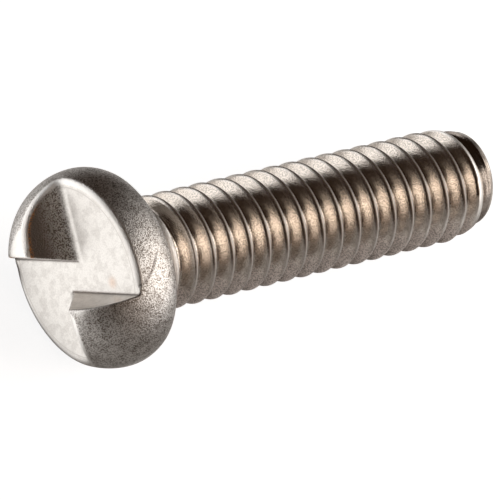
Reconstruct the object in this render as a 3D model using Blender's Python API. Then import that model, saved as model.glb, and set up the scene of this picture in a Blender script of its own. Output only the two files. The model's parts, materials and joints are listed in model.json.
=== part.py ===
"""One-way security screw: a cold-headed, thread-rolled 1/4-20 machine screw, lying down.

The screw is built about its own +X axis, with the bearing face under the head at x = 0, the head at
x < 0 and the point at x > 0. Angles about the axis run from +Y towards +Z. The finished screw is then
laid on z = 0, where its head's rim and its thread touch.
"""

import math

import bmesh
import bpy
import numpy as np
from mathutils import Matrix, Vector

MM = 0.001

# Head, which the forging left slightly oval and off centre
HEAD_RADIUS = 5.36 * MM
HEAD_OVALITY = 0.055
HEAD_LONG_AXIS = math.radians(-32)
HEAD_OFFSET_Y = -0.055 * MM
HEAD_OFFSET_Z = -0.12 * MM
HEAD_HEIGHT = 5.08 * MM
CROWN_RADIUS = 2.5 * MM
RIM_HEIGHT = 1.3 * MM
FACE_INSET = 0.39 * MM

# Recess, struck by a punch that stood a little off centre and out of square
RECESS_DEPTH = 2.14 * MM
RECESS_CENTRE_Y = -0.25 * MM
RECESS_CENTRE_Z = -0.08 * MM
PUNCH_LEAN = math.radians(3.7)
SLOT_ANGLE = math.radians(10.5)
SLOT_WIDTH = 1.68 * MM
WALL_DRAFT = math.radians(13.5)
RAMP_ANGLE = math.radians(50)
RAMP_FOOT = 0.47 * MM
RAMP_FILLET = 1.0 * MM

# Shank, threaded to within one turn of the head
THREAD_RADIUS = 3.16 * MM
THREAD_PITCH = 1.27 * MM
FIRST_CREST = 1.17 * MM
SHANK_LENGTH = 24.4 * MM
RUNOUT_LENGTH = 1.9 * MM
NECK_FILLET = 0.35 * MM
POINT_LENGTH = 2.2 * MM
POINT_TAPER = 0.56 * MM
POINT_SKEW = 0.2
POINT_HIGH_SIDE = math.radians(20)
LAST_GROOVE = 1.5 * MM
END_EDGE = 0.15 * MM

# The thread's form, a sharp V of 60 degrees with an eighth of the pitch cut off its crests
V_DEPTH = THREAD_PITCH * math.cos(math.radians(30))
THREAD_DEPTH = V_DEPTH * 17 / 24
CREST_FLAT = THREAD_PITCH / 8
FLANK_WIDTH = (THREAD_PITCH - CREST_FLAT) / 2 * THREAD_DEPTH / (V_DEPTH * 7 / 8)

COLUMNS = 40
DOME_RINGS = 8
UNDERSIDE_RINGS = 3
FILLET_STEPS = 5
ROOT_SHARE = 0.85
TILT_STEP = 1e-6


def oval(angle):
    """The head's outline at this angle, as a share of its radius."""
    return 1 + HEAD_OVALITY * math.cos(2 * (angle - HEAD_LONG_AXIS))


def arc(dx, dr, steps):
    """(x, r) away from the rim, along an arc that leaves it parallel to the axis and ends at (dx, dr)."""
    radius = (dx * dx + dr * dr) / (2 * dr)
    angle = math.atan2(dx, radius - dr)
    turns = [angle * step / steps for step in range(1, steps + 1)]
    return [(radius * math.sin(turn), radius * (1 - math.cos(turn))) for turn in turns]


def head_profile():
    """(x, radius) from the crown's edge, over the rim, to the edge of the bearing face."""
    dome = arc(HEAD_HEIGHT - RIM_HEIGHT, HEAD_RADIUS - CROWN_RADIUS, DOME_RINGS)
    underside = arc(RIM_HEIGHT, FACE_INSET, UNDERSIDE_RINGS)
    points = [(-RIM_HEIGHT - x, HEAD_RADIUS - r) for x, r in reversed(dome)]
    points.append((-RIM_HEIGHT, HEAD_RADIUS))
    return points + [(x - RIM_HEIGHT, HEAD_RADIUS - r) for x, r in underside]


def neck_radius():
    """The blank's radius before rolling, which is the thread's pitch radius."""
    return THREAD_RADIUS - THREAD_DEPTH / 2


def smooth(share):
    share = min(max(share, 0), 1)
    return share * share * (3 - 2 * share)


def crest_limit(x, angle):
    """The radius that the crests reach: they fade in at the neck and taper off, a little askew, at the end."""
    rise = smooth((x - NECK_FILLET) / RUNOUT_LENGTH)
    radius = neck_radius() + (THREAD_RADIUS - neck_radius()) * rise
    share = max(x - (SHANK_LENGTH - POINT_LENGTH), 0) / POINT_LENGTH
    taper = POINT_TAPER * (1 - POINT_SKEW * math.cos(angle - POINT_HIGH_SIDE))
    return radius - taper * share**1.5


def root_limit(x, angle):
    """The radius that the roots cut down to: they fade in at the neck and out at the point."""
    fall = smooth((x - NECK_FILLET) / RUNOUT_LENGTH)
    root = neck_radius() - (neck_radius() - THREAD_RADIUS + THREAD_DEPTH) * fall
    rise = smooth((x - (SHANK_LENGTH - LAST_GROOVE)) / LAST_GROOVE)
    return root + (crest_limit(x, angle) - root) * rise


def thread_radius(x, angle, turn):
    """The shank's radius at x and this angle, where turn is the place between two crests, from 0 to 1."""
    from_crest = min(turn, 1 - turn) * THREAD_PITCH - CREST_FLAT / 2
    depth = THREAD_DEPTH * max(from_crest, 0) / FLANK_WIDTH
    return min(max(THREAD_RADIUS - depth, root_limit(x, angle)), crest_limit(x, angle))


def thread_places():
    """Where each turn of the thread has a vertex, as shares of the pitch from one crest to the next."""
    crest = CREST_FLAT / 2 / THREAD_PITCH
    root = crest + FLANK_WIDTH * ROOT_SHARE / THREAD_PITCH
    return [crest, root, 0.5, 1 - root, 1 - crest]


def head_column(angle):
    """The head's outline at this angle, from the crown's edge to the edge of the bearing face."""
    points = []
    for x, radius in head_profile():
        y, z = radius * oval(angle) * math.cos(angle), radius * oval(angle) * math.sin(angle)
        points.append((x, HEAD_OFFSET_Y + y, HEAD_OFFSET_Z + z))
    return points


def shank_column(angle):
    """The shank's outline at this angle, from the neck's fillet to the edge of the point's flat end."""
    start, end = NECK_FILLET, SHANK_LENGTH - END_EDGE
    outline = [(0, neck_radius() + NECK_FILLET), (NECK_FILLET * 0.3, neck_radius() + NECK_FILLET * 0.3)]
    outline.append((start, neck_radius()))
    crest = FIRST_CREST + THREAD_PITCH * angle / (2 * math.pi)
    for turn in range(-3, math.ceil(SHANK_LENGTH / THREAD_PITCH) + 2):
        for place in thread_places():
            x = crest + THREAD_PITCH * (turn + place)
            if start + END_EDGE / 2 < x < end - END_EDGE / 2:
                outline.append((x, thread_radius(x, angle, place)))
    outline.append((end, thread_radius(end, angle, (end - crest) / THREAD_PITCH % 1)))
    outline.append((SHANK_LENGTH, crest_limit(end, angle) - END_EDGE))
    return [(x, radius * math.cos(angle), radius * math.sin(angle)) for x, radius in outline]


def stitch(mesh, left, right):
    """Triangles between two neighbouring columns of vertices, each in order along the axis."""
    i = j = 0
    while i < len(left) - 1 or j < len(right) - 1:
        left_next = left[i + 1].co.x if i < len(left) - 1 else math.inf
        right_next = right[j + 1].co.x if j < len(right) - 1 else math.inf
        if left_next <= right_next:
            mesh.faces.new((left[i], right[j], left[i + 1]))
            i += 1
        else:
            mesh.faces.new((left[i], right[j], right[j + 1]))
            j += 1


def blank():
    """The headed and threaded blank, before the recess is struck."""
    mesh = bmesh.new()
    angles = [HEAD_LONG_AXIS + 2 * math.pi * index / COLUMNS for index in range(COLUMNS)]
    heads = [[mesh.verts.new(point) for point in head_column(angle)] for angle in angles]
    shanks = [[mesh.verts.new(point) for point in shank_column(angle % (2 * math.pi))] for angle in angles]
    for index in range(COLUMNS):
        after = (index + 1) % COLUMNS
        left, right = heads[index] + shanks[index][:1], heads[after] + shanks[after][:1]
        for low in range(len(left) - 1):
            mesh.faces.new((left[low], right[low], right[low + 1], left[low + 1]))
        stitch(mesh, shanks[index], shanks[after])
    mesh.faces.new([points[0] for points in heads])
    mesh.faces.new([points[-1] for points in shanks])
    bmesh.ops.recalc_face_normals(mesh, faces=mesh.faces)
    return finish_object("screw", mesh)


def finish_object(name, mesh):
    data = bpy.data.meshes.new(name)
    mesh.to_mesh(data)
    mesh.free()
    result = bpy.data.objects.new(name, data)
    bpy.context.scene.collection.objects.link(result)
    return result


def ramp_steps(height):
    """(height over the floor, distance of the ramp from the recess's centre) up to the given height."""
    tangent = RAMP_FILLET * math.tan(RAMP_ANGLE / 2)
    steps = []
    for step in range(FILLET_STEPS + 1):
        angle = RAMP_ANGLE * step / FILLET_STEPS
        away = RAMP_FOOT + tangent - RAMP_FILLET * math.sin(angle)
        steps.append((RAMP_FILLET * (1 - math.cos(angle)), away))
    steps.append((height, RAMP_FOOT - height / math.tan(RAMP_ANGLE)))
    return steps


def punch_section(height, ramp, reach):
    """The punch's section at this height: a square, less the two corners that it leaves standing."""
    wall = SLOT_WIDTH / 2 + height * math.tan(WALL_DRAFT)
    slope = math.tan(SLOT_ANGLE)
    offset = wall / math.cos(SLOT_ANGLE)
    half = [
        (reach, ramp),
        (offset - slope * ramp, ramp),
        (offset + slope * reach, -reach),
        (-reach, -reach),
    ]
    return half + [(-y, -z) for y, z in half]


def punch():
    """The punch's nose, which makes the floor, the two driving walls and the two ramps."""
    reach = 2 * HEAD_RADIUS
    mesh = bmesh.new()
    rings = []
    for height, ramp in ramp_steps(2 * HEAD_HEIGHT):
        rings.append([mesh.verts.new((-height, y, z)) for y, z in punch_section(height, ramp, reach)])
    for low, high in zip(rings, rings[1:]):
        for index in range(len(low)):
            after = (index + 1) % len(low)
            mesh.faces.new((low[index], low[after], high[after], high[index]))
    mesh.faces.new(rings[0])
    mesh.faces.new(rings[-1])
    bmesh.ops.recalc_face_normals(mesh, faces=mesh.faces)
    tool = finish_object("punch", mesh)
    floor = Vector((RECESS_DEPTH - HEAD_HEIGHT, RECESS_CENTRE_Y, RECESS_CENTRE_Z))
    tool.matrix_world = Matrix.Translation(floor) @ Matrix.Rotation(PUNCH_LEAN, 4, "Y")
    tool.hide_render = True
    tool.display_type = "WIRE"
    return tool


def strike(screw, tool):
    cut = screw.modifiers.new("recess", "BOOLEAN")
    cut.operation = "DIFFERENCE"
    cut.solver = "EXACT"
    cut.object = tool


def rest_tilt(corners):
    """The tilt about Y at which the head's rim and the thread are equally low, found by halving."""
    low, high = 0, math.pi / 4
    on_head = corners[:, 0] < 0
    while high - low > TILT_STEP:
        tilt = (low + high) / 2
        depth = corners[:, 0] * math.sin(tilt) - corners[:, 2] * math.cos(tilt)
        if depth[on_head].max() > depth[~on_head].max():
            low = tilt
        else:
            high = tilt
    return high


def struck_corners(screw, turn):
    """The corners of the screw with its recess cut, turned about its own origin."""
    finished = screw.evaluated_get(bpy.context.evaluated_depsgraph_get())
    return np.array([turn @ vertex.co for vertex in finished.data.vertices])


def lay_down(screw, tool):
    """Turns the head's short axis upright, tilts the screw on to its rim and thread, and lowers it."""
    turn = Matrix.Rotation(-HEAD_LONG_AXIS, 4, "X")
    pose = Matrix.Rotation(rest_tilt(struck_corners(screw, turn)), 4, "Y") @ turn
    corners = struck_corners(screw, pose)
    middle = (corners.min(axis=0) + corners.max(axis=0)) / 2
    pose = Matrix.Translation((-middle[0], -middle[1], -corners[:, 2].min())) @ pose
    screw.matrix_world = pose
    tool.matrix_world = pose @ tool.matrix_world


def stainless_steel():
    material = bpy.data.materials.new("stainless_steel")
    material.use_nodes = True
    shader = material.node_tree.nodes["Principled BSDF"]
    shader.inputs["Base Color"].default_value = (0.56, 0.53, 0.50, 1)
    shader.inputs["Metallic"].default_value = 1
    shader.inputs["Roughness"].default_value = 0.35
    return material


def main():
    for old in list(bpy.data.objects):
        bpy.data.objects.remove(old, do_unlink=True)
    screw = blank()
    tool = punch()
    strike(screw, tool)
    lay_down(screw, tool)
    screw.data.materials.append(stainless_steel())
    screw.data.shade_smooth()
    screw.data.set_sharp_from_angle(angle=math.radians(35))


main()
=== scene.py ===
"""The looks of the one-way security screw: its true rounded form, its steel, and a plain studio around it.

The screw is made in its own frame, in millimetres: +X runs from the bearing face under the head to the
point, and angles about that axis run from +Y towards +Z. The frame's mount says where it lies.
"""

import json
import math

import bmesh
import bpy
import numpy as np
from mathutils import Matrix, Vector


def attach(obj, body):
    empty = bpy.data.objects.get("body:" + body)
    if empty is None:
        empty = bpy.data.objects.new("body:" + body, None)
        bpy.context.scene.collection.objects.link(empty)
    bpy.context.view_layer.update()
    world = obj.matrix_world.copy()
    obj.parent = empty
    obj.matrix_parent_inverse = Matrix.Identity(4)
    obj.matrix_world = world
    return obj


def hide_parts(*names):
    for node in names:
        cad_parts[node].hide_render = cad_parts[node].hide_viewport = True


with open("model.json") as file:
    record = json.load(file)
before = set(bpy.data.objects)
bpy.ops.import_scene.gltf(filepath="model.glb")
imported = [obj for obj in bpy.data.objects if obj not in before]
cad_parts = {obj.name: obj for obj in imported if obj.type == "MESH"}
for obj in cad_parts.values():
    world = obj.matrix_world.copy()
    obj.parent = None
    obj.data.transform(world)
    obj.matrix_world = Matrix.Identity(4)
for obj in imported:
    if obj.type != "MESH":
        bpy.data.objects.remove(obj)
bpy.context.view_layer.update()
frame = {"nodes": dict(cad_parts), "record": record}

MM = 0.001

# Head
HEAD_RADIUS = 5.36
HEAD_OVALITY = 0.055
HEAD_LONG_AXIS = math.radians(-32)
HEAD_OFFSET_Y = -0.055
HEAD_OFFSET_Z = -0.12
HEAD_HEIGHT = 5.08
CROWN_RADIUS = 2.5
RIM_HEIGHT = 1.3
FACE_INSET = 0.39
CROWN_ROUNDING = 0.3
FACE_ROUNDING = 0.1
SKIN = 0.01

# A crease that the heading left in the dome, running out from the recess's right corner
CREASE = [(-2.6, -1.54, 4.71), (-2.21, -1.33, 4.99), (-1.73, -0.79, 5.11), (-1.23, -0.01, 5.11)]
CREASE_DEPTH = 0.05
CREASE_WIDTH = 0.08

# Recess
RECESS_DEPTH = 2.14
RECESS_CENTRE_Y = -0.25
RECESS_CENTRE_Z = -0.08
PUNCH_LEAN = math.radians(3.7)
SLOT_ANGLE = math.radians(10.5)
SLOT_WIDTH = 1.68
WALL_DRAFT = math.radians(13.5)
RAMP_ANGLE = math.radians(50)
RAMP_FOOT = 0.47
RAMP_FILLET = 1.0
WALL_FILLET = 0.08
CORNER_ROUNDING = 0.1
EDGE_ROUNDING = 0.08
EDGE_BEVEL = 0.12
EDGE_BLEND = 0.6
BEVEL_AT_FLOOR = math.radians(33)
BEVEL_AT_RAMP = math.radians(58)

# Shank
THREAD_RADIUS = 3.16
THREAD_PITCH = 1.27
FIRST_CREST = 1.17
SHANK_LENGTH = 24.4
RUNOUT_LENGTH = 1.9
NECK_FILLET = 0.35
POINT_LENGTH = 2.2
POINT_TAPER = 0.56
POINT_SKEW = 0.2
POINT_HIGH_SIDE = math.radians(20)
LAST_GROOVE = 1.5
END_EDGE = 0.15
V_DEPTH = THREAD_PITCH * math.cos(math.radians(30))
THREAD_DEPTH = V_DEPTH * 17 / 24
NECK_RADIUS = THREAD_RADIUS - THREAD_DEPTH / 2
CREST_FLAT = THREAD_PITCH / 10
FLANK_SLOPE = math.tan(math.radians(60))
ROOT_ROUNDING = 0.16
CREST_ROUNDING = 0.05

# Fineness of the meshes, and how a mesh settles on its surface
VOXEL = 0.073
WELD = 1e-4
RELAX_STEPS = 5
RELAX_SHARE = 0.5
DESCENTS = 2
LEAST_SLOPE = 0.05
GRADIENT_STEP = 0.002
SHANK_COLUMNS = 112
POINTS_PER_PITCH = 16
FLARE_TURN = math.radians(75)
FLARE_POINTS = 8
END_EDGE_POINTS = 4
SMOOTH_ANGLE = math.radians(40)

# The stub inside the head that the shank starts from. Its rows up to the flare are alike in every column
STUB_DEPTH = 1.0
STUB_STEP = 0.2
STUB_RADIUS = NECK_RADIUS * 0.9
STUB_ROWS = FLARE_POINTS + 1

# Camera, found from the thread's crests in the photograph, in the screw's own frame
CAMERA_PLACE = (-211.264, -1.037, 287.84)
CAMERA_TILT = math.radians(37.3938)
CAMERA_ROLL = math.radians(13.4941)
FOCAL_PIXELS = 6671.6
PHOTO_WIDTH = 500
SENSOR_WIDTH = 36.0
CAMERA_CLIP = (0.01, 10)

# How far from the screw's axis the record's mount lies
MOUNT_RADIUS = 3.95

# Finish of the steel: the colours that it reflects, and the painted shade and painted highlight laid on it
DOME_STEEL = (0.78, 0.75, 0.72, 1)
STRUCK_STEEL = (0.76, 0.73, 0.69, 1)
WALL_STEEL = (0.66, 0.63, 0.6, 1)
THREAD_STEEL = (0.78, 0.7, 0.62, 1)
DULL_STEEL = (0.7, 0.61, 0.56, 1)
# The next colour is the brighter steel of wear, which also stands as a painted highlight on edges, the crown
# and crests
WEAR_HIGHLIGHT_STEEL = (0.94, 0.91, 0.87, 1)
GRAIN_SHADE = (0.2, 0.17, 0.145, 1)
SCALE = (0.1, 0.07, 0.055, 1)
# The next colour is painted shade that darkens the ramps high on their rise
RUST = (0.62, 0.3, 0.12, 1)
# The next colour is painted shade along the foot of each driving wall, along the crease and near the point
PAINTED_SHADE_COLOUR = (0.06, 0.035, 0.025, 1)

# Marks stored at the points of the steel, each from 0 to 1 except "inside", which is in millimetres
# The last mark lays painted shade, and the one before it wear with a painted highlight
MARKS = ("shank", "struck", "wall", "rise", "rusty", "dull", "inside", "wear_and_highlight", "painted_shade")

# Places and sizes of the marks on the head, in millimetres. A blur is the width over which a mark fades, a
# cover is how strongly it shows at most, and the bevel's number is how many times the bevel's depth the wear,
# with its painted highlight, reaches
STRUCK_BLUR = 0.1
WALL_BLUR = 0.08
# The seam's mark is painted shade along the foot of each driving wall
SEAM_WIDTH = 0.12
# These three set how far wear with its painted highlight reaches at the edge, the bevel and the crown
EDGE_WEAR_HIGHLIGHT = 0.06
BEVEL_WEAR_HIGHLIGHT = 1.7
CROWN_WEAR_HIGHLIGHT = 0.26
CROWN_BLUR = 0.06
FRINGE = (0.24, 0.42)
FRINGE_BASE = -3.9
FRINGE_BLUR = 0.5
STAIN_PLACE = (-2.76, -1.01, 2.75)
STAIN_RADIUS = 0.5
STAIN_COVER = 0.35
RUB_PLACE = (-4.72, -2.0, 2.25)
RUB_RADIUS = 0.75
LINE_DEPTH = 0.36
LINE_WIDTH = 0.05

# The same on the shank. A stretch is a start and its blur, then an end and its blur. The dull side's blur is
# in the cosine of the angle, and DULL_CREST_LOSS is the share of their wear and painted highlight that crests
# lose there
SHANK_BLUR = 0.2
DULL_SIDE = math.radians(-155)
DULL_SPAN = math.radians(61)
DULL_BLUR = 0.35
CREST_STRETCH = (0.9, 0.3, SHANK_LENGTH - 0.8, 0.4)
# How far below the crest the wear and its painted highlight reach
CREST_WEAR_HIGHLIGHT = 0.012
CREST_BLUR = 0.035
DULL_CREST_LOSS = 0.85
NECK_END = 1.6
NECK_BLUR = 0.25
# Painted shade near the point: where it lies along the shank, and how strongly it shows
TIP_SHADE_STRETCH = (23.45, 0.15, 24.25, 0.15)
TIP_SHADE_COVER = 0.65

# Noise: the size of its grains in millimetres, its detail, and the values between which it darkens the steel
GRAIN_SIZE = 0.08
GRAIN_DETAIL = 3.0
GRAIN_RANGE = (0.54, 0.42)
MOTTLE_SIZE = 0.5
MOTTLE_DETAIL = 4.0
MOTTLE_RANGE = (0.56, 0.4)

# Parts of a ramp's rise, from 0 at the floor to 1 at the top, over which something comes in or goes
RAMP_START = (0.0, 0.1)
# The painted shade on the ramps comes in over this part
RAMP_SHADE_START = (0.1, 0.65)
LINE_END = (0.15, 0.05)
FOOT_END = (0.6, 0.2)

# How strongly things show: on the dome, the thread, its dull side, the recess's floor and its ramps
GRAIN_DEPTH = (0.72, 0.4, 0.75, 0.12, 0.9)
ROUGHNESS = (0.32, 0.12, 0.36, 0.28, 0.6)
BUMP_STRENGTH = (0.68, 0.22, 0.7, 0.12, 1.0)
DOME_MOTTLE, SHANK_MOTTLE, STRUCK_MOTTLE = 0.25, 0.08, 0.16
# How strongly the painted shade on the ramps shows at most
RAMP_SHADE_COVER = 0.85
LINE_COVER = 0.4
# How strongly the wear and its painted highlight show at most
WEAR_HIGHLIGHT_COVER = 0.9
# How strongly the painted shade at the walls' feet, along the crease and near the point shows at most
PAINTED_SHADE_COVER = 0.9
GRAIN_ROUGHNESS = 0.08
CREST_ROUGHNESS = 0.4
BUMP_METRES = 0.00004

# Floor of pale paper. A card on it has a brightness, then a place, half sizes and a blur in millimetres
FLOOR_REACH = 60
FLOOR_GLOW = 0.86
FLOOR_PAPER = 0.45
FLOOR_CARDS = [
    (1.25, (-38, 24, 22.4, 27, 0.4)),
    (1.0, (-15.3, 0.3, 1.6, 3.3, 0.8)),
    (0.45, (-14.5, 21, 2.5, 15, 1.5)),
    (0.35, (0, 21, 14, 15, 2.5)),
    (0.7, (16.5, 11, 5, 4.5, 2)),
    (0.4, (30, -10, 11, 30, 4)),
    (0.5, (15, -13, 8, 5, 3)),
    (0.26, (-32, -7, 16, 4, 3)),
    (0.36, (3, -4.2, 13, 1.2, 0.8)),
]

# Studio: each light's colour, then its azimuth, elevation, half width, half height and blur in degrees
DARK_STUDIO = (0.031, 0.018, 0.0115)
SOFTBOXES = [
    ((2.3, 2.2, 2.1), (-33, 34, 34, 26, 8)),
    ((0.42, 0.41, 0.4), (13, 32, 13, 30, 9)),
    ((1.2, 1.2, 1.22), (-42, -2, 22, 12, 8)),
    ((1.15, 1.08, 1.02), (-80, 50, 18, 12, 8)),
    ((0.7, 0.58, 0.49), (-108, 47, 20, 18, 9)),
    ((0.34, 0.29, 0.26), (-84, 8, 20, 20, 8)),
    ((1.3, 1.32, 1.34), (124, 6, 20, 18, 6)),
    ((1.15, 1.14, 1.13), (158, -1, 14, 10, 6)),
    ((0.85, 0.84, 0.82), (179, 7, 10, 8, 6)),
    ((0.1, 0.105, 0.105), (18, 20, 22, 45, 15)),
]


def smooth_min(a, b, width):
    share = np.clip(0.5 + 0.5 * (b - a) / width, 0, 1)
    return b + (a - b) * share - width * share * (1 - share)


def smooth_max(a, b, width):
    return -smooth_min(-a, -b, width)


def smooth_step(value):
    value = np.clip(value, 0, 1)
    return value * value * (3 - 2 * value)


def arc_radius(dx, dr):
    """The radius of an arc that starts parallel to the axis and ends dx along it and dr nearer to it."""
    return (dx * dx + dr * dr) / (2 * dr)


def crease_depth(points):
    """How deep the crease is, at points on the dome or near it."""
    nearest = np.full(len(points), math.inf)
    for start, end in zip(CREASE, CREASE[1:]):
        start, run = np.array(start), np.subtract(end, start)
        share = np.clip((points - start) @ run / (run @ run), 0, 1)
        nearest = np.minimum(nearest, np.linalg.norm(points - start - share[:, None] * run, axis=1))
    return CREASE_DEPTH * (1 - smooth_step(nearest / CREASE_WIDTH))


def head_distance(points):
    """Distance outside the head's blank, below zero inside. A thin skin keeps it within the CAD's facets."""
    x = points[:, 0]
    y, z = points[:, 1] - HEAD_OFFSET_Y, points[:, 2] - HEAD_OFFSET_Z
    oval = 1 + HEAD_OVALITY * np.cos(2 * (np.arctan2(z, y) - HEAD_LONG_AXIS))
    radius = np.hypot(y, z) / oval
    dome = arc_radius(HEAD_HEIGHT - RIM_HEIGHT, HEAD_RADIUS - CROWN_RADIUS)
    under = arc_radius(RIM_HEIGHT, FACE_INSET)
    arc = np.where(x < -RIM_HEIGHT, dome, under)
    side = np.hypot(x + RIM_HEIGHT, np.maximum(radius - HEAD_RADIUS + arc, 0)) - arc
    side = smooth_max(side, -HEAD_HEIGHT - x, CROWN_ROUNDING)
    return smooth_max(side, x, FACE_ROUNDING) + SKIN + crease_depth(points)


def punched_distance(points):
    """Distance outside the steel that the punch leaves: a floor, and a walled and ramped rise on either side.

    The second value is the distance from the nearer driving wall, the third from the seam at its foot, and
    the fourth the height above the floor.
    """
    dx = points[:, 0] - (RECESS_DEPTH - HEAD_HEIGHT)
    dz = points[:, 2] - RECESS_CENTRE_Z
    y = points[:, 1] - RECESS_CENTRE_Y
    z = math.sin(PUNCH_LEAN) * dx + math.cos(PUNCH_LEAN) * dz
    height = math.sin(PUNCH_LEAN) * dz - math.cos(PUNCH_LEAN) * dx
    ramp_rounding = RAMP_FILLET * math.tan(RAMP_ANGLE / 2) * math.sin(RAMP_ANGLE)
    rises, walls, seams = [], [], []
    for side in (1, -1):
        across = side * (y * math.cos(SLOT_ANGLE) + z * math.sin(SLOT_ANGLE))
        wall = (SLOT_WIDTH / 2 + height * math.tan(WALL_DRAFT) - across) * math.cos(WALL_DRAFT)
        ramp = (side * z - RAMP_FOOT) * math.sin(RAMP_ANGLE) + height * math.cos(RAMP_ANGLE)
        walled = smooth_min(height, wall, WALL_FILLET)
        ramped = smooth_min(height, ramp, ramp_rounding)
        rises.append(smooth_max(walled, ramped, CORNER_ROUNDING))
        walls.append(np.maximum(abs(wall), ramp))
        seams.append(np.maximum(walls[-1], abs(height)))
    return np.minimum(*rises), np.minimum(*walls), np.minimum(*seams), height


def edge_bevel(from_wall):
    """How far the edge is cut back. It is crisp at the two walls and worn to a narrow bevel elsewhere."""
    return EDGE_BEVEL * smooth_step(from_wall / EDGE_BLEND)


def bevelled(points, blank, punched, from_wall):
    """Distance outside the bevel, which leans less beside the recess's floor than above the ramps."""
    share = smooth_step((RECESS_DEPTH - HEAD_HEIGHT - points[:, 0]) / EDGE_BLEND)
    lean = BEVEL_AT_FLOOR + (BEVEL_AT_RAMP - BEVEL_AT_FLOOR) * share
    return punched * np.cos(lean) + blank * np.sin(lean) + edge_bevel(from_wall)


def struck_head(points):
    """The finished head: what both the blank and the punch leave, with its edge cut back."""
    blank = head_distance(points)
    punched, from_wall, _, _ = punched_distance(points)
    sharp = smooth_max(blank, punched, EDGE_ROUNDING)
    return smooth_max(sharp, bevelled(points, blank, punched, from_wall), EDGE_ROUNDING)


def gradient(field, points):
    """The slope of a field at each point, along x, y and z."""
    slopes = []
    for axis in range(3):
        step = np.zeros(3)
        step[axis] = GRADIENT_STEP
        slopes.append((field(points + step) - field(points - step)) / (2 * GRADIENT_STEP))
    return np.stack(slopes, axis=1)


def settle(field, points, edges):
    """Spreads a mesh's points evenly and brings each one down on to the field's zero surface."""
    count = np.bincount(edges.ravel(), minlength=len(points))[:, None]
    for _ in range(RELAX_STEPS):
        total = np.zeros_like(points)
        np.add.at(total, edges[:, 0], points[edges[:, 1]])
        np.add.at(total, edges[:, 1], points[edges[:, 0]])
        points = points + RELAX_SHARE * (total / count - points)
        for _ in range(DESCENTS):
            slope = gradient(field, points)
            steepness = np.maximum((slope * slope).sum(axis=1), LEAST_SLOPE)
            points = points - slope * (field(points) / steepness)[:, None]
    return points


def mesh_arrays(data):
    points = np.empty(len(data.vertices) * 3, dtype=np.float32)
    data.vertices.foreach_get("co", points)
    edges = np.empty(len(data.edges) * 2, dtype=np.int32)
    data.edges.foreach_get("vertices", edges)
    return points.reshape(-1, 3).astype(float), edges.reshape(-1, 2)


def cad_pose():
    """Takes the screw's own frame, in metres, to where the CAD's screw lies, as its mount says."""
    mount = frame["record"]["mounts"][0]
    axis, place = Vector(mount["axis"]), Vector(mount["pos_m"])
    turn = Matrix.Rotation(math.atan2(-axis.z, axis.x), 4, "Y") @ Matrix.Rotation(-HEAD_LONG_AXIS, 4, "X")
    up = math.pi / 2 + HEAD_LONG_AXIS
    centre = place - turn @ Vector((0, MOUNT_RADIUS * MM * math.cos(up), MOUNT_RADIUS * MM * math.sin(up)))
    return Matrix.Translation(centre) @ turn


def new_object(name, data):
    result = bpy.data.objects.new(name, data)
    bpy.context.scene.collection.objects.link(result)
    return result


def evaluated_copy(thing, name):
    """A plain mesh of the object with its modifiers applied. The object itself is removed."""
    bpy.context.view_layer.update()
    evaluated = thing.evaluated_get(bpy.context.evaluated_depsgraph_get())
    data = bpy.data.meshes.new_from_object(evaluated)
    data.name = name
    bpy.data.objects.remove(thing, do_unlink=True)
    return data


def rough_head(pose):
    """The CAD's head, cut off just above its bearing face and remeshed finely."""
    mesh = bmesh.new()
    mesh.from_mesh(frame["nodes"]["screw"].data)
    to_own = Matrix.Scale(1 / MM, 4) @ pose.inverted()
    bmesh.ops.transform(mesh, matrix=to_own, verts=mesh.verts)
    bmesh.ops.remove_doubles(mesh, verts=mesh.verts, dist=WELD)
    cut = bmesh.ops.bisect_plane(
        mesh,
        geom=mesh.verts[:] + mesh.edges[:] + mesh.faces[:],
        plane_co=(-VOXEL / 2, 0, 0),
        plane_no=(1, 0, 0),
        clear_outer=True,
    )
    rim = [item for item in cut["geom_cut"] if isinstance(item, bmesh.types.BMEdge)]
    bmesh.ops.contextual_create(mesh, geom=rim)
    data = bpy.data.meshes.new("head")
    mesh.to_mesh(data)
    mesh.free()
    head = new_object("head", data)
    remesh = head.modifiers.new("voxels", "REMESH")
    remesh.mode = "VOXEL"
    remesh.voxel_size = VOXEL
    return evaluated_copy(head, "head")


def head_mesh(pose):
    """The finished head, in the screw's own frame."""
    data = rough_head(pose)
    points, edges = mesh_arrays(data)
    points = settle(struck_head, points, edges)
    data.vertices.foreach_set("co", points.astype(np.float32).ravel())
    return data


def thread_share(x):
    """How far the thread is formed: from 0 at the neck to 1 past its run-out."""
    return smooth_step((x - NECK_FILLET) / RUNOUT_LENGTH)


def crest_radius(x, angle):
    """The radius that the thread's crests reach: less at the neck, and less again towards the point."""
    share = np.maximum(x - (SHANK_LENGTH - POINT_LENGTH), 0) / POINT_LENGTH
    taper = POINT_TAPER * (1 - POINT_SKEW * np.cos(angle - POINT_HIGH_SIDE))
    return NECK_RADIUS + (THREAD_RADIUS - NECK_RADIUS) * thread_share(x) - taper * share**1.5


def thread_radius(x, angle, turn):
    """The threaded shank's radius at x, where turn is the place between two crests, from 0 to 1."""
    from_crest = np.minimum(turn, 1 - turn) * THREAD_PITCH
    flank = THREAD_RADIUS - (from_crest - CREST_FLAT / 2) * FLANK_SLOPE
    root = NECK_RADIUS + (THREAD_RADIUS - THREAD_DEPTH - NECK_RADIUS) * thread_share(x)
    crest = crest_radius(x, angle)
    root = root + (crest - root) * smooth_step((x - (SHANK_LENGTH - LAST_GROOVE)) / LAST_GROOVE)
    return smooth_min(smooth_max(flank, root, ROOT_ROUNDING), crest, CREST_ROUNDING)


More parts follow.
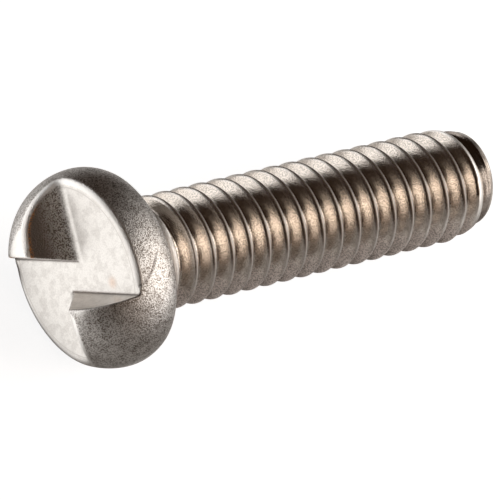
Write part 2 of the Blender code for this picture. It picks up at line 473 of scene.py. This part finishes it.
def shank_column(angle):
    """(x, radius) along the shank at this angle, from a stub inside the head to the edge of the flat end."""
    column = [(-STUB_DEPTH, STUB_RADIUS), (-STUB_DEPTH * STUB_STEP, STUB_RADIUS)]
    for turn in np.linspace(0, FLARE_TURN, FLARE_POINTS)[::-1]:
        column.append((NECK_FILLET * (1 - math.sin(turn)), NECK_RADIUS + NECK_FILLET * (1 - math.cos(turn))))
    end = SHANK_LENGTH - END_EDGE
    step = THREAD_PITCH / POINTS_PER_PITCH
    offset = FIRST_CREST + THREAD_PITCH * angle / (2 * math.pi)
    first = math.ceil((NECK_FILLET + step / 2 - offset) / step)
    last = math.floor((end - step / 2 - offset) / step)
    x = np.append(offset + step * np.arange(first, last + 1), end)
    radius = thread_radius(x, angle, (x - offset) / THREAD_PITCH % 1)
    column += zip(x, radius)
    for turn in np.linspace(0, math.pi / 2, END_EDGE_POINTS + 1)[1:]:
        column.append((end + END_EDGE * math.sin(turn), radius[-1] - END_EDGE * (1 - math.cos(turn))))
    return column


def stitch(faces, left, right, x):
    """Triangles between two neighbouring columns of vertices, each in order along the axis."""
    i = j = 0
    while i < len(left) - 1 or j < len(right) - 1:
        left_next = x[left[i + 1]] if i < len(left) - 1 else math.inf
        right_next = x[right[j + 1]] if j < len(right) - 1 else math.inf
        if left_next <= right_next:
            faces.append((left[i], right[j], left[i + 1]))
            i += 1
        else:
            faces.append((left[i], right[j], right[j + 1]))
            j += 1


def shank_mesh():
    """The threaded shank, as a closed skin over columns of points that follow the thread's turns."""
    points, columns, faces = [], [], []
    for index in range(SHANK_COLUMNS):
        angle = 2 * math.pi * index / SHANK_COLUMNS
        outline = shank_column(angle)
        columns.append(range(len(points), len(points) + len(outline)))
        points += [(x, r * math.cos(angle), r * math.sin(angle)) for x, r in outline]
    order = [point[0] for point in points]
    for left, right in zip(columns, columns[1:] + columns[:1]):
        for low in range(STUB_ROWS):
            faces.append((left[low], right[low], right[low + 1], left[low + 1]))
        stitch(faces, left[STUB_ROWS:], right[STUB_ROWS:], order)
    faces.append([column[0] for column in columns][::-1])
    faces.append([column[-1] for column in columns])
    data = bpy.data.meshes.new("shank")
    data.from_pydata(points, [], faces)
    return data


def store(data, name, values, kind="FLOAT"):
    field = "vector" if kind == "FLOAT_VECTOR" else "value"
    data.attributes.new(name, kind, "POINT").data.foreach_set(field, values.astype(np.float32).ravel())


def spot(points, place, radius):
    """1 at the middle of a round spot, falling to 0 at its radius."""
    return 1 - smooth_step(np.linalg.norm(points - np.array(place), axis=1) / radius)


def stretch(x, start, start_blur, end, end_blur):
    """1 along a stretch of the shank, rising from 0 after its start and falling to 0 before its end."""
    return smooth_step((x - start) / start_blur) * smooth_step((end - x) / end_blur)


def head_marks(points, on_head):
    """The marks on the dome and in the recess, as values at the points."""
    x = points[:, 0]
    upper = points[:, 1] > 0
    blank = head_distance(points)
    punched, from_wall, from_seam, height = punched_distance(points)
    struck = smooth_step(0.5 + (punched - blank) / STRUCK_BLUR) * on_head
    wall = (1 - smooth_step(from_wall / WALL_BLUR)) * struck
    from_edge = np.maximum(abs(blank), abs(punched)) - edge_bevel(from_wall) * BEVEL_WEAR_HIGHLIGHT
    edge = 1 - smooth_step(from_edge / EDGE_WEAR_HIGHLIGHT)
    crown = smooth_step((-HEAD_HEIGHT - x + CROWN_WEAR_HIGHLIGHT) / CROWN_BLUR) * upper
    rub = spot(points, RUB_PLACE, RUB_RADIUS) * (1 - struck)
    fringe = smooth_step((FRINGE[1] + blank) / (FRINGE[1] - FRINGE[0]))
    fringe = fringe * smooth_step((FRINGE_BASE - x) / FRINGE_BLUR) * upper
    stain = spot(points, STAIN_PLACE, STAIN_RADIUS) * STAIN_COVER
    # Painted shade along the foot of each driving wall and along the crease
    seam = (1 - smooth_step(from_seam / SEAM_WIDTH)) * struck
    crease = crease_depth(points) / CREASE_DEPTH * on_head
    return {
        "struck": struck,
        "wall": wall,
        "rise": np.clip(height / RECESS_DEPTH, 0, 1) * (struck - wall),
        "rusty": np.maximum(fringe, stain) * struck,
        "inside": np.maximum(-blank, 0) * struck,
        # Wear at the edges, the crown and the rub spot, brightened also as a painted highlight
        "wear_and_highlight": np.maximum(np.maximum(edge, crown), rub) * on_head,
        "painted_shade": np.maximum(seam, crease),
    }


def shank_marks(points, on_shank):
    """The marks on the thread and at the point, as values at the points."""
    x = points[:, 0]
    angle = np.arctan2(points[:, 2], points[:, 1])
    below_crest = crest_radius(x, angle) - np.hypot(points[:, 1], points[:, 2])
    crest = (1 - smooth_step((below_crest - CREST_WEAR_HIGHLIGHT) / CREST_BLUR)) * stretch(x, *CREST_STRETCH)
    neck = (1 - smooth_step((x - NECK_END) / NECK_BLUR)) * crest
    dull = smooth_step(0.5 + (np.cos(angle - DULL_SIDE) - math.cos(DULL_SPAN)) / DULL_BLUR)
    return {
        "shank": on_shank,
        "dull": np.maximum(dull, neck) * on_shank,
        # Wear on the crests, brightened also as a painted highlight
        "wear_and_highlight": crest * (1 - DULL_CREST_LOSS * dull),
        # Painted shade near the point
        "painted_shade": stretch(x, *TIP_SHADE_STRETCH) * TIP_SHADE_COVER * on_shank,
    }


def mark_finish(data):
    """Stores at each point, still in the screw's own frame, what the steel's finish depends on."""
    points, _ = mesh_arrays(data)
    on_shank = smooth_step(points[:, 0] / SHANK_BLUR)
    head, shank = head_marks(points, 1 - on_shank), shank_marks(points, on_shank)
    store(data, "own", points, "FLOAT_VECTOR")
    for name in MARKS:
        store(data, name, np.maximum(head.get(name, 0), shank.get(name, 0)))


def make_screw():
    """One piece of steel: the head and the shank, joined under the head."""
    pose = cad_pose()
    head = new_object("screw_steel", head_mesh(pose))
    shank = new_object("shank", shank_mesh())
    join = head.modifiers.new("join", "BOOLEAN")
    join.operation = "UNION"
    join.solver = "MANIFOLD"
    join.object = shank
    data = evaluated_copy(head, "screw_steel")
    bpy.data.objects.remove(shank, do_unlink=True)
    mark_finish(data)
    data.transform(pose @ Matrix.Scale(MM, 4))
    data.shade_smooth()
    data.set_sharp_from_angle(angle=SMOOTH_ANGLE)
    return new_object("screw_steel", data)


def make_camera(pose):
    """The photograph's camera, placed in the screw's own frame."""
    data = bpy.data.cameras.new("camera")
    data.sensor_width = SENSOR_WIDTH
    data.lens = FOCAL_PIXELS / PHOTO_WIDTH * SENSOR_WIDTH
    data.clip_start, data.clip_end = CAMERA_CLIP
    camera = new_object("camera", data)
    turn = Matrix.Rotation(-CAMERA_TILT, 4, "Y") @ Matrix.Rotation(-CAMERA_ROLL, 4, "Z")
    camera.matrix_world = pose @ Matrix.Translation(Vector(CAMERA_PLACE) * MM) @ turn
    bpy.context.scene.camera = camera


def node(tree, kind, inputs=(), **settings):
    """A new node. Each input is a value to set or a socket to link."""
    made = tree.nodes.new(kind)
    for name, value in settings.items():
        setattr(made, name, value)
    for key, value in dict(inputs).items():
        if isinstance(value, bpy.types.NodeSocket):
            tree.links.new(value, made.inputs[key])
        else:
            made.inputs[key].default_value = value
    return made


def calc(tree, operation, *values):
    return node(tree, "ShaderNodeMath", dict(enumerate(values)), operation=operation).outputs[0]


def times(tree, value, factor):
    return calc(tree, "MULTIPLY", value, factor)


def ramp_up(tree, value, low, high):
    """From 0 at low to 1 at high, smoothly. Low may also be the greater one."""
    inputs = {"Value": value, "From Min": low, "From Max": high}
    return node(tree, "ShaderNodeMapRange", inputs, interpolation_type="SMOOTHSTEP").outputs[0]


def blend(tree, share, low, high):
    """A colour from low to high as the share goes from 0 to 1. Sockets 6, 7 and 2 are the colours."""
    return node(tree, "ShaderNodeMix", {0: share, 6: low, 7: high}, data_type="RGBA").outputs[2]


def between(tree, share, low, high):
    """A number from low to high as the share goes from 0 to 1. Sockets 2, 3 and 0 are the numbers."""
    return node(tree, "ShaderNodeMix", {0: share, 2: low, 3: high}).outputs[0]


def noise(tree, place, size, detail):
    """Soft noise from 0 to 1, whose grains are about this size."""
    return node(tree, "ShaderNodeTexNoise", {"Vector": place, "Scale": 1 / size, "Detail": detail}).outputs[0]


def zoned(tree, mark, on_ramp, values):
    """The value of the zone: of the dome, the thread, its dull side, the recess's floor or its ramps."""
    of_dome, of_thread, of_dull, of_floor, of_ramp = values
    shank = between(tree, mark["dull"], of_thread, of_dull)
    struck = between(tree, on_ramp, of_floor, of_ramp)
    return between(tree, mark["struck"], between(tree, mark["shank"], of_dome, shank), struck)


def steel_shade(tree, mark, on_ramp, grain):
    """How dark the grain, the mottling and the thin arc in the recess make the steel, from 0 to 1."""
    mottle = noise(tree, mark["own"], MOTTLE_SIZE, MOTTLE_DETAIL)
    grain_depth = zoned(tree, mark, on_ramp, GRAIN_DEPTH)
    mottle_depth = between(tree, mark["shank"], DOME_MOTTLE, SHANK_MOTTLE)
    mottle_depth = between(tree, mark["struck"], mottle_depth, STRUCK_MOTTLE)
    dark_grain = times(tree, ramp_up(tree, grain, *GRAIN_RANGE), grain_depth)
    dark_mottle = times(tree, ramp_up(tree, mottle, *MOTTLE_RANGE), mottle_depth)
    off_line = calc(tree, "ABSOLUTE", calc(tree, "SUBTRACT", mark["inside"], LINE_DEPTH))
    line = times(tree, ramp_up(tree, off_line, LINE_WIDTH, 0.0), ramp_up(tree, mark["rise"], *LINE_END))
    shade = calc(tree, "ADD", dark_grain, dark_mottle)
    return calc(tree, "MAXIMUM", shade, times(tree, line, LINE_COVER))


def steel_colour(tree, mark, on_ramp, grain):
    """Each zone's own colour, and over it painted shade on the ramps, rust, the grain's shade, wear that also
    stands as a painted highlight, and painted shade at the walls' feet, along the crease and near the point.
    """
    thread = blend(tree, mark["dull"], THREAD_STEEL, DULL_STEEL)
    recess = blend(tree, mark["wall"], STRUCK_STEEL, WALL_STEEL)
    colour = blend(tree, mark["struck"], blend(tree, mark["shank"], DOME_STEEL, thread), recess)
    # Painted shade, darkening the ramps high on their rise
    ramp_shade = times(tree, ramp_up(tree, mark["rise"], *RAMP_SHADE_START), RAMP_SHADE_COVER)
    colour = blend(tree, ramp_shade, colour, SCALE)
    colour = blend(tree, mark["rusty"], colour, RUST)
    colour = blend(tree, steel_shade(tree, mark, on_ramp, grain), colour, GRAIN_SHADE)
    # Wear, brightened also as a painted highlight
    colour = blend(tree, times(tree, mark["wear_and_highlight"], WEAR_HIGHLIGHT_COVER), colour, WEAR_HIGHLIGHT_STEEL)
    # Painted shade at the walls' feet, along the crease and near the point
    return blend(tree, times(tree, mark["painted_shade"], PAINTED_SHADE_COVER), colour, PAINTED_SHADE_COLOUR)


def steel_roughness(tree, mark, on_ramp, grain):
    """Each zone's own roughness, a little more where the grain is high, and another on the crests, where wear
    lies with a painted highlight.
    """
    foot = times(tree, on_ramp, ramp_up(tree, mark["rise"], *FOOT_END))
    roughness = zoned(tree, mark, foot, ROUGHNESS)
    roughness = calc(tree, "ADD", roughness, times(tree, grain, GRAIN_ROUGHNESS))
    return between(tree, times(tree, mark["wear_and_highlight"], mark["shank"]), roughness, CREST_ROUGHNESS)


def make_steel():
    """Bare stainless steel: speckled on the dome, smoother where it was struck, and warm along the thread."""
    material = bpy.data.materials.new("stainless_steel")
    material.use_nodes = True
    tree = material.node_tree
    shader = tree.nodes["Principled BSDF"]
    shader.inputs["Metallic"].default_value = 1
    mark = {name: node(tree, "ShaderNodeAttribute", attribute_name=name).outputs["Fac"] for name in MARKS}
    mark["own"] = node(tree, "ShaderNodeAttribute", attribute_name="own").outputs["Vector"]
    grain = noise(tree, mark["own"], GRAIN_SIZE, GRAIN_DETAIL)
    on_ramp = ramp_up(tree, mark["rise"], *RAMP_START)
    strength = zoned(tree, mark, on_ramp, BUMP_STRENGTH)
    bump = node(tree, "ShaderNodeBump", {"Strength": strength, "Distance": BUMP_METRES, "Height": grain})
    tree.links.new(steel_colour(tree, mark, on_ramp, grain), shader.inputs["Base Color"])
    tree.links.new(steel_roughness(tree, mark, on_ramp, grain), shader.inputs["Roughness"])
    tree.links.new(bump.outputs[0], shader.inputs["Normal"])
    return material


def floor_card(tree, place, x, y, half_x, half_y, blur):
    """1 on a card that lies on the floor, falling to 0 across its blurred edge."""
    apart = node(tree, "ShaderNodeVectorMath", {0: place, 1: (x * MM, y * MM, 0)}, operation="SUBTRACT")
    away = node(tree, "ShaderNodeVectorMath", {0: apart.outputs[0]}, operation="ABSOLUTE")
    sides = node(tree, "ShaderNodeSeparateXYZ", {0: away.outputs[0]})
    inside = ramp_up(tree, sides.outputs["X"], (half_x + blur) * MM, (half_x - blur) * MM)
    within = ramp_up(tree, sides.outputs["Y"], (half_y + blur) * MM, (half_y - blur) * MM)
    return times(tree, inside, within)


def make_floor():
    """Paper that is white to the camera, with pale cards on it that show in the steel."""
    reach = FLOOR_REACH * MM
    corners = [(-reach, -reach, 0), (reach, -reach, 0), (reach, reach, 0), (-reach, reach, 0)]
    data = bpy.data.meshes.new("floor")
    data.from_pydata(corners, [], [(0, 1, 2, 3)])
    new_object("floor", data)
    material = bpy.data.materials.new("white_paper")
    material.use_nodes = True
    tree = material.node_tree
    tree.nodes.clear()
    ray = node(tree, "ShaderNodeLightPath")
    place = node(tree, "ShaderNodeNewGeometry").outputs["Position"]
    cards = 0.0
    for brightness, card in FLOOR_CARDS:
        cards = calc(tree, "MAXIMUM", cards, times(tree, floor_card(tree, place, *card), brightness))
    mirrored = calc(tree, "MAXIMUM", ray.outputs["Is Glossy Ray"], ray.outputs["Is Transmission Ray"])
    to_camera = times(tree, ray.outputs["Is Camera Ray"], FLOOR_GLOW)
    glow = calc(tree, "MAXIMUM", to_camera, times(tree, mirrored, cards))
    light = node(tree, "ShaderNodeEmission", {"Color": (1, 1, 1, 1), "Strength": glow})
    paper = node(tree, "ShaderNodeBsdfDiffuse", {"Color": (FLOOR_PAPER, FLOOR_PAPER, FLOOR_PAPER, 1)})
    both = node(tree, "ShaderNodeAddShader", {0: paper.outputs[0], 1: light.outputs[0]})
    node(tree, "ShaderNodeOutputMaterial", {"Surface": both.outputs[0]})
    data.materials.append(material)


def softbox(tree, direction, azimuth, elevation, half_width, half_height, blur):
    """1 inside a box of the sky round this direction, in degrees, falling to 0 across its blurred edge."""
    front = (math.cos(math.radians(azimuth)), math.sin(math.radians(azimuth)), 0)
    side = (-front[1], front[0], 0)
    ahead = node(tree, "ShaderNodeVectorMath", {0: direction, 1: front}, operation="DOT_PRODUCT")
    across = node(tree, "ShaderNodeVectorMath", {0: direction, 1: side}, operation="DOT_PRODUCT")
    height = node(tree, "ShaderNodeSeparateXYZ", {0: direction}).outputs["Z"]
    turn = calc(tree, "ABSOLUTE", calc(tree, "ARCTAN2", across.outputs["Value"], ahead.outputs["Value"]))
    rise = calc(tree, "SUBTRACT", calc(tree, "ARCSINE", height), math.radians(elevation))
    width, depth, soft = math.radians(half_width), math.radians(half_height), math.radians(blur)
    inside = ramp_up(tree, turn, width + soft, width - soft)
    within = ramp_up(tree, calc(tree, "ABSOLUTE", rise), depth + soft, depth - soft)
    return times(tree, inside, within)


def make_world():
    """A dark studio with a few large soft lights. What the camera sees of it directly is plain white."""
    world = bpy.data.worlds.new("studio")
    world.use_nodes = True
    tree = world.node_tree
    tree.nodes.clear()
    direction = node(tree, "ShaderNodeTexCoord").outputs["Generated"]
    total = DARK_STUDIO
    for colour, box in SOFTBOXES:
        share = softbox(tree, direction, *box)
        light = node(tree, "ShaderNodeVectorMath", {0: colour, "Scale": share}, operation="SCALE").outputs[0]
        total = node(tree, "ShaderNodeVectorMath", {0: total, 1: light}, operation="ADD").outputs[0]
    seen = node(tree, "ShaderNodeLightPath").outputs["Is Camera Ray"]
    sky = node(tree, "ShaderNodeBackground", {"Color": blend(tree, seen, total, (1, 1, 1, 1))})
    node(tree, "ShaderNodeOutputWorld", {"Surface": sky.outputs[0]})
    bpy.context.scene.world = world


def main():
    screw = make_screw()
    screw.data.materials.clear()
    screw.data.materials.append(make_steel())
    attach(screw, "root")
    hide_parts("screw")
    make_camera(cad_pose())
    make_floor()
    make_world()
    bpy.context.scene.view_settings.view_transform = "Standard"


main()
